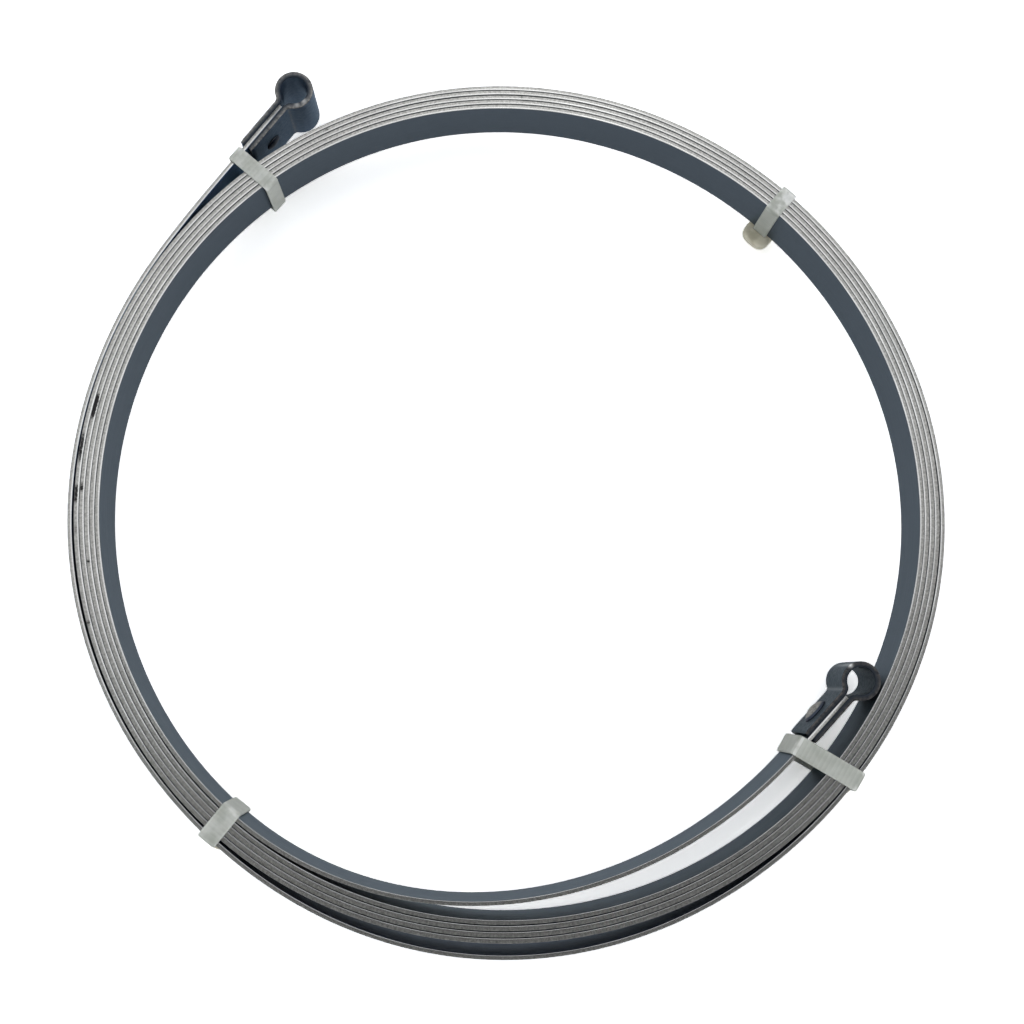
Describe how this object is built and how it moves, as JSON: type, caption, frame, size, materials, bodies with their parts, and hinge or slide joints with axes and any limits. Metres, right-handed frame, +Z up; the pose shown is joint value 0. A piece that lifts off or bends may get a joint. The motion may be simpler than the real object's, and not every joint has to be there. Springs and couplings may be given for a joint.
{
  "type": "recoil starter spring",
  "caption": "Flat spring-steel strip wound into a ring, with a riveted eye on its inner and outer end, tied with cable ties; rewinds the pulley of a pull-start engine.",
  "frame": {"origin": "on the floor under the coil's centre, which is the middle of the part's box at its base", "axes": "+Z up, along the eyes' bores; +Y towards the outer eye's side; the strip winds inwards counter-clockwise seen from +Z"},
  "size_m": [0.1319, 0.1341, 0.015],
  "materials": {
    "spring_steel": "bluish grey tempered faces, bare slit edges",
    "clip_steel": "dark blued sheet",
    "rivet_steel": "satin, dull",
    "nylon": "natural translucent nylon"
  },
  "bodies": {
    "root": {"spring_strip": "spring_steel", "outer_eye": "clip_steel", "outer_rivet": "rivet_steel", "inner_eye": "clip_steel", "inner_rivet": "rivet_steel", "outer_end_tie": "nylon", "upper_tie": "nylon", "lower_tie": "nylon", "inner_end_tie": "nylon"}
  },
  "joints": []
}
